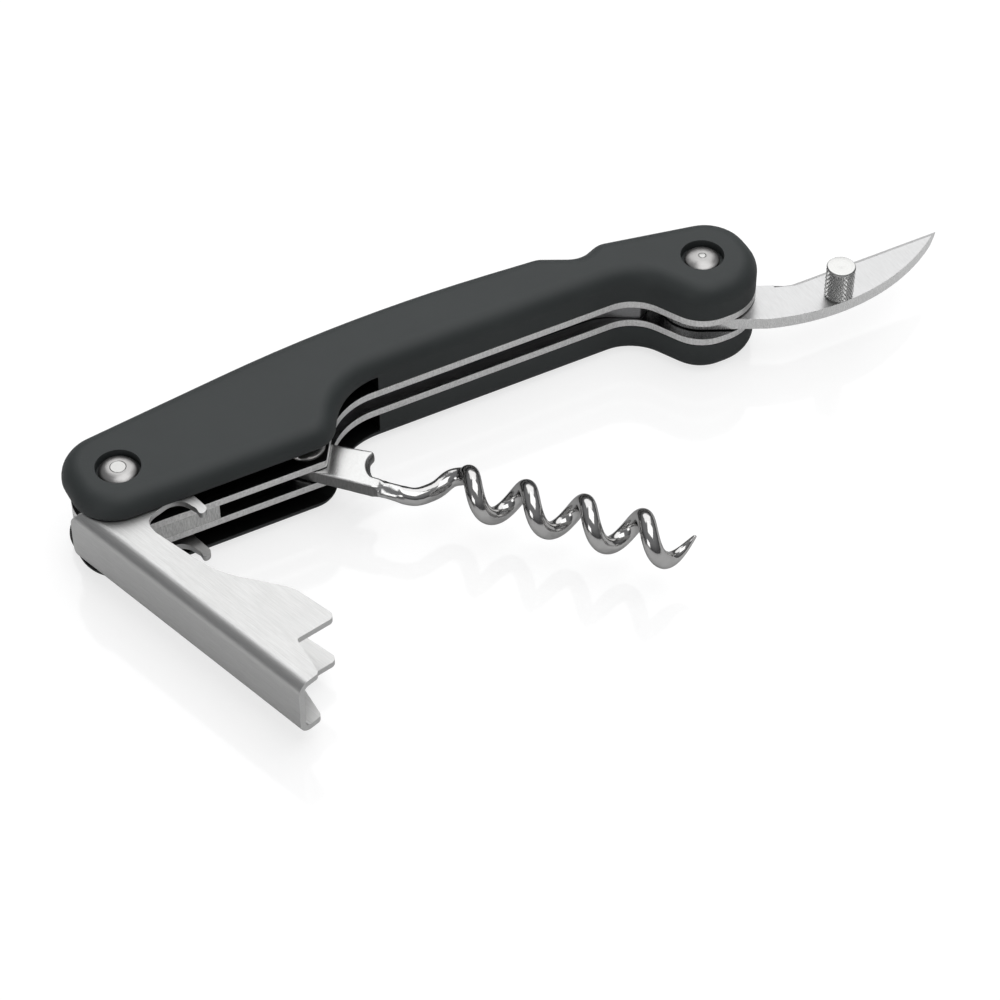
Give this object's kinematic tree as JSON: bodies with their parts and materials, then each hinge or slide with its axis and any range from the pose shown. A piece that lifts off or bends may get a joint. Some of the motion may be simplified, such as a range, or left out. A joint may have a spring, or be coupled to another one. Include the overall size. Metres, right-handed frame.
{
  "type": "folding lever corkscrew",
  "caption": "Folding waiter's corkscrew with a worm, a boot lever with a cap lifter, a foil knife with a thumb stud, and soft-touch scales over steel liners.",
  "frame": {"origin": "on the flat outer face of the bottom scale, below the middle of the handle, half way between the two end rivets", "axes": "+X from the boot lever's rivet to the knife's rivet, +Y to the handle's back edge, +Z from the bottom scale to the top scale"},
  "size_m": [0.1566, 0.0651, 0.0182],
  "materials": {
    "soft_grip": "matte soft-touch moulding",
    "liner_steel": "stamped, tumbled",
    "spring_steel": "hardened, plain",
    "rivet_steel": "turned, satin",
    "washer_brass": "plain",
    "lever_steel": "brushed along its length",
    "worm_steel": "polished",
    "blade_steel": "satin ground",
    "stud_steel": "knurled sides, turned end"
  },
  "bodies": {
    "handle": {"bottom_scale": "soft_grip", "top_scale": "soft_grip", "bottom_liner": "liner_steel", "top_liner": "liner_steel", "lever_end_spacer": "liner_steel", "centre_spring": "spring_steel", "spring_pins": "liner_steel", "lever_rivet": "rivet_steel", "lever_rivet_collar": "rivet_steel", "knife_rivet": "rivet_steel", "knife_rivet_collar": "rivet_steel", "worm_rivet": "rivet_steel", "lever_washers": "washer_brass"},
    "lever": {"boot_lever": "lever_steel"},
    "worm": {"worm": "worm_steel"},
    "knife": {"knife_blade": "blade_steel", "thumb_stud": "stud_steel"}
  },
  "joints": [
    {"name": "lever_fold", "type": "hinge", "parent": "handle", "child": "lever", "pos_m": [-0.052, -0.008, 0.0091], "axis": [0, 0, 1], "range_deg": [-70, 72]},
    {"name": "worm_fold", "type": "hinge", "parent": "handle", "child": "worm", "pos_m": [-0.0222, -0.0116, 0.0091], "axis": [0, 0, 1], "range_deg": [-43.75, 45]},
    {"name": "knife_fold", "type": "hinge", "parent": "handle", "child": "knife", "pos_m": [0.052, -0.008, 0.0091], "axis": [0, 0, 1], "range_deg": [0, 173]}
  ],
  "couplings": [
    {"joint": "worm_fold", "follows": "lever_fold", "ratio": 0.625}
  ]
}
